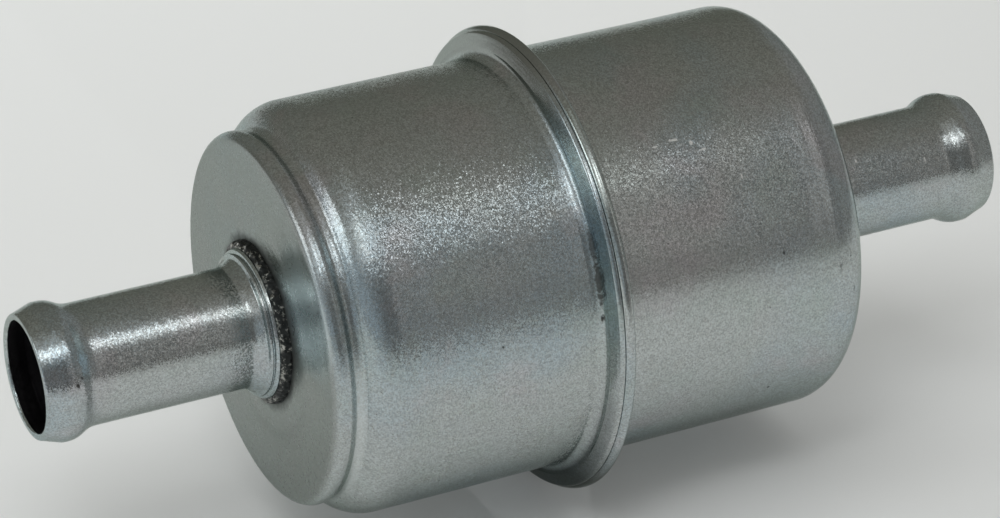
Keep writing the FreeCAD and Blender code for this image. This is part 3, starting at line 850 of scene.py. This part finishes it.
def add_braze(label, end, side, seed):
    """Granular ring: a turned bead pushed about by layered noise."""
    outline = [
        (end + 0.62, 5.74, 0.04),
        (end + 0.74, 6.02, 0.12),
        (end + 0.52, 6.34, 0.22),
        (end + 0.16, 6.46, 0.12),
        (end - 0.02, 6.50, 0.02),
        (end - 0.02, 4.9, 0),
        (end + 0.62, 4.9, 0),
    ]
    material = braze("braze_" + label, (end + 0.74) * MM, side)
    ring = turned(label + "_bead", outline, side, [material], {}, 0.06, segments=640)
    mesh = ring.data
    co = np.zeros(len(mesh.vertices) * 3)
    mesh.vertices.foreach_get("co", co)
    co = co.reshape(-1, 3)
    off = np.linalg.norm(co[:, 1:], axis=1)
    lumps = wobble(co, *COARSE_LUMPS, seed) + wobble(co, *FINE_LUMPS, seed + 5)
    outer = np.clip((off - LUMPS_FROM) / LUMPS_GROW, 0, 1)
    radial_way = co * np.array([0, 1, 1]) / off[:, None]
    co = co + radial_way * (lumps * outer)[:, None]
    face_side = np.abs(co[:, 0]) > (end + 0.1) * MM
    co[:, 0] += np.where(face_side, side * 0.5 * lumps * outer, 0.0)
    mesh.vertices.foreach_set("co", co.ravel())
    mesh.update()
    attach(ring, "housing")
    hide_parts(label)


def add_ends():
    """Both hose tubes with their braze rings."""
    # Painted dark reflection on the front of the inlet bead.
    bead_painted_reflection = [
        ((-0.0390, -0.0052, 0.00146), 0.00013, 0.00022, 0.9),
        ((-0.0386, -0.0050, 0.0019), 0.00010, 0.00016, 0.8),
    ]
    inlet_end = add_tube("inlet_tube", "inlet_shell", -1, 21.0, bead_painted_reflection)
    tube_nicks = [
        ((0.02902, -0.00315, 0.00357), 0.00012, 0.00016),
        ((0.03512, -0.00397, 0.00264), 0.00010, 0.00024),
    ]
    outlet_end = add_tube("outlet_tube", "outlet_shell", 1, 34.0, nicks=tube_nicks)
    add_braze("inlet_braze_ring", inlet_end, -1, 2.5)
    add_braze("outlet_braze_ring", outlet_end, 1, 6.5)


def coiled_wire(start, length):
    """Points and faces of a wire coiled round X from a station on."""
    turns = length / SPRING_PITCH
    rings = int(turns * SPRING_STEPS) + 1
    share = np.linspace(0.0, 1.0, rings)
    angle = FULL_TURN * turns * share
    flat = np.zeros(rings)
    outwards = np.stack([flat, np.sin(angle), np.cos(angle)], -1)
    around = np.stack([flat, np.cos(angle), -np.sin(angle)], -1)
    lengthwise = np.stack([flat + 1.0, flat, flat], -1)
    along = around * (FULL_TURN * turns * SPRING_RADIUS) + lengthwise * length
    along = along / np.linalg.norm(along, axis=1)[:, None]
    across = np.cross(along, outwards)
    middle = outwards * SPRING_RADIUS + lengthwise * (start + length * share)[:, None]
    bend = np.arange(SPRING_SIDES) * (FULL_TURN / SPRING_SIDES)
    reach = outwards[:, None] * np.cos(bend)[:, None] + across[:, None] * np.sin(bend)[:, None]
    co = (middle[:, None] + reach * SPRING_WIRE).reshape(-1, 3)
    faces = [list(range(SPRING_SIDES))[::-1]]
    for ring in range(rings - 1):
        near, far = ring * SPRING_SIDES, (ring + 1) * SPRING_SIDES
        for side in range(SPRING_SIDES):
            beside = (side + 1) % SPRING_SIDES
            faces.append([near + side, near + beside, far + beside, far + side])
    faces.append(list(range(len(co) - SPRING_SIDES, len(co))))
    return co.tolist(), faces


def add_spring():
    """Retaining spring as one coiled wire."""
    low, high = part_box("retaining_spring")
    points, faces = coiled_wire(low.x + SPRING_WIRE, high.x - low.x - 2 * SPRING_WIRE)
    mesh = bpy.data.meshes.new("spring_coil")
    mesh.from_pydata(points, [], faces)
    steel = plain_metal(
        "spring_wire", (0.34, 0.33, 0.32), (0.20, 0.18, 0.16), 0.28, (0.3, 1.0, 1.0)
    )
    mesh.materials.append(steel)
    mesh.polygons.foreach_set("use_smooth", np.ones(len(faces), bool))
    mesh.update()
    mesh.set_sharp_from_angle(angle=SHARP_ANGLE)
    coil = bpy.data.objects.new("spring_coil", mesh)
    bpy.context.scene.collection.objects.link(coil)
    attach(coil, "housing")
    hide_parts("retaining_spring")
    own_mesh(coil)


def dress_hidden_nodes():
    """Procedural finishes for the CAD pieces inside the can."""
    tin = plain_metal("cap_tin", (0.62, 0.61, 0.56), (0.48, 0.46, 0.40), 0.30)
    core = plain_metal("core_tin", (0.60, 0.60, 0.57), (0.44, 0.43, 0.40), 0.34)
    clip = plain_metal("clip_steel", (0.50, 0.50, 0.50), (0.36, 0.34, 0.32), 0.32)
    finishes = {
        "inlet_end_cap": tin,
        "outlet_end_cap": tin,
        "centre_tube": core,
        "pleat_clip": clip,
        "pleated_paper": paper("filter_media"),
        "inlet_potting": plastisol("potting"),
        "outlet_potting": plastisol("potting_outlet"),
        "outlet_grommet": rubber("grommet_skin"),
        "seam_gasket": fibre("gasket_board"),
    }
    for node, material in finishes.items():
        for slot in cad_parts[node].material_slots:
            slot.link = "OBJECT"
            slot.material = material


# ---------------------------------------------------------------- the studio

# Room colours, and the directions between which each part of it fades in.
ROOM_BACK = (0.192, 0.189, 0.162)
ROOM_TOP = (0.234, 0.227, 0.200)
WALL_DARK = (0.170, 0.170, 0.165)
WALL_LOW = (0.390, 0.372, 0.354)
WALL_PALE = (0.560, 0.535, 0.510)
WALL_LEFT = (0.340, 0.370, 0.385)
WALL_RIGHT = (0.265, 0.265, 0.252)
FRONT_Y = (0.15, -0.60)
TOP_Y = (1.0, 0.0)
PALE_START_X = (0.28, 0.35)
PALE_END_X = (0.46, 0.405)
PALE_RISE_Z = (0.08, 0.42)
LEFT_X = (-0.30, -0.75)
LEFT_Z = (0.55, 0.25)
LEFT_Y = (0.64, 0.44)
RIGHT_X = (0.50, 0.62)

# Overhead panels: their direction, distance and depth, and for each its name, its
# place along X, its width and its radiance.
KEY_WAY = (0.0, -0.485, 0.875)
KEY_DISTANCE = 0.26
KEY_DEPTH = 0.045
KEY_PANELS = (
    ("far_right", 0.0750, 0.037, 0.92),
    ("right", 0.0385, 0.036, 1.75),
    ("middle", -0.110, 0.120, 1.85),
)
SIDE_WIDTH = 0.16
SIDE_DEPTH = 0.15
SIDE_RADIANCE = 1.7
KEY_TINT = (0.98, 1.0, 1.0)
SIDE_TINT = (0.96, 1.0, 1.0)
FLOOR_TINT = (0.97, 1.0, 1.0)

FLOOR_HALF = 3.0
FLOOR_GAP = 0.00002
FLOOR_DARK = (0.80, 0.80, 0.795)
FLOOR_PALE = (0.84, 0.84, 0.838)


def add_floor():
    """Pale matt floor just under the flange."""
    level = CAD_BOX[0].z - FLOOR_GAP
    signs = ((-1, -1), (1, -1), (1, 1), (-1, 1))
    corners = [(x * FLOOR_HALF, y * FLOOR_HALF, level) for x, y in signs]
    mesh = bpy.data.meshes.new("floor")
    mesh.from_pydata(corners, [], [(0, 1, 2, 3)])
    g = Graph("pale_floor")
    colour = g.blend(g.noise(3.0, 2.0, 0.5), FLOOR_DARK, FLOOR_PALE)
    grain = g.bump(g.noise(900.0, 2.0, 0.5), 0.00001)
    g.finish(colour, 0.7, 0.0, grain, Specular_IOR_Level=0.15)
    mesh.materials.append(g.material)
    floor = bpy.data.objects.new("floor", mesh)
    bpy.context.scene.collection.objects.link(floor)
    return floor


def add_light(name, towards, distance, width, depth, power, colour):
    """Soft rectangular light that faces the filter; its width runs along X."""
    data = bpy.data.lights.new(name, "AREA")
    data.shape = "RECTANGLE"
    data.size = width
    data.size_y = depth
    data.energy = power
    data.color = colour
    light = bpy.data.objects.new(name, data)
    way = Vector(towards).normalized()
    light.location = way * distance
    light.rotation_mode = "QUATERNION"
    light.rotation_quaternion = way.to_track_quat("Z", "Y")
    bpy.context.scene.collection.objects.link(light)
    return light


def add_world():
    """Dim room: olive behind, paler on the left, and in front a wall with dark ends."""
    world = bpy.data.worlds.new("studio")
    world.use_nodes = True
    g = Nodes(world.node_tree)
    way = g.parts(g.add("ShaderNodeTexCoord").outputs["Generated"])
    pale = g.math(
        "MULTIPLY",
        g.span(way["X"], *PALE_START_X, smooth=True),
        g.span(way["X"], *PALE_END_X, smooth=True),
    )
    rise = g.span(way["Z"], *PALE_RISE_Z, smooth=True)
    wall = g.blend(pale, WALL_DARK, g.blend(rise, WALL_LOW, WALL_PALE))
    behind = g.blend(g.span(way["Y"], *TOP_Y, smooth=True), ROOM_BACK, ROOM_TOP)
    room = g.blend(g.span(way["Y"], *FRONT_Y, smooth=True), behind, wall)
    left = g.math(
        "MULTIPLY",
        g.span(way["X"], *LEFT_X, smooth=True),
        g.span(way["Z"], *LEFT_Z, smooth=True),
    )
    left = g.math("MULTIPLY", left, g.span(way["Y"], *LEFT_Y, smooth=True))
    room = g.blend(left, room, WALL_LEFT)
    room = g.blend(g.span(way["X"], *RIGHT_X, smooth=True), room, WALL_RIGHT)
    back = g.add("ShaderNodeBackground")
    output = g.add("ShaderNodeOutputWorld")
    g.feed(back.inputs["Color"], room)
    g.feed(output.inputs["Surface"], back.outputs["Background"])
    bpy.context.scene.world = world


def add_lights(floor):
    """Soft panels overhead and one at the left, dimmer glows, and lights for the floor."""
    for side, x, width, radiance in KEY_PANELS:
        power = radiance * math.pi * (width * KEY_DEPTH)
        panel = add_light(
            "key_" + side, KEY_WAY, KEY_DISTANCE, width, KEY_DEPTH, power, KEY_TINT
        )
        panel.location.x = x
    power = SIDE_RADIANCE * math.pi * SIDE_WIDTH * SIDE_DEPTH
    add_light("side", (-0.90, 0.13, 0.38), 0.45, SIDE_WIDTH, SIDE_DEPTH, power, SIDE_TINT)
    glow = add_light("key_glow", KEY_WAY, 0.27, 0.50, 0.110, 0.066, KEY_TINT)
    glow.location.x = -0.17
    veil = add_light("key_veil", (0.0, -0.36, 0.93), 0.28, 0.40, 0.26, 0.056, KEY_TINT)
    veil.location.x = -0.16
    lit = bpy.data.collections.new("lit_by_floor_lights")
    lit.objects.link(floor)
    above = add_light("floor_above", (-0.30, -0.12, 0.93), 0.9, 0.7, 0.7, 2.6, FLOOR_TINT)
    beyond = add_light("floor_beyond", (0.15, 0.80, 0.55), 0.28, 0.30, 0.30, 0.34, FLOOR_TINT)
    beyond.data.use_shadow = False
    for light in (above, beyond):
        light.light_linking.receiver_collection = lit


def add_camera():
    """Camera at the front left, looking down at the filter."""
    sine, cosine = math.sin(CAMERA_AZIMUTH), math.cos(CAMERA_AZIMUTH)
    level, drop = math.cos(CAMERA_ELEVATION), math.sin(CAMERA_ELEVATION)
    forward = Vector((sine * level, cosine * level, -drop))
    right = Vector((cosine, -sine, 0.0))
    up = right.cross(forward)
    low, high = CAD_BOX
    aim = (low + high) / 2 + right * AIM_RIGHT + up * AIM_UP
    data = bpy.data.cameras.new("camera")
    data.lens = CAMERA_LENS
    data.sensor_width = SENSOR_WIDTH
    data.clip_start = 0.01
    data.clip_end = 20.0
    data.dof.use_dof = False
    camera = bpy.data.objects.new("camera", data)
    camera.location = aim - forward * CAMERA_DISTANCE
    camera.rotation_mode = "QUATERNION"
    camera.rotation_quaternion = forward.to_track_quat("-Z", "Y")
    bpy.context.scene.collection.objects.link(camera)
    bpy.context.scene.camera = camera


add_camera()
can_inside = dark_bore("can_inside")
add_inlet_shell(can_inside)
add_outlet_shell(can_inside)
add_ends()
add_spring()
dress_hidden_nodes()
floor = add_floor()
add_world()
add_lights(floor)
bpy.context.scene.view_settings.view_transform = "Standard"
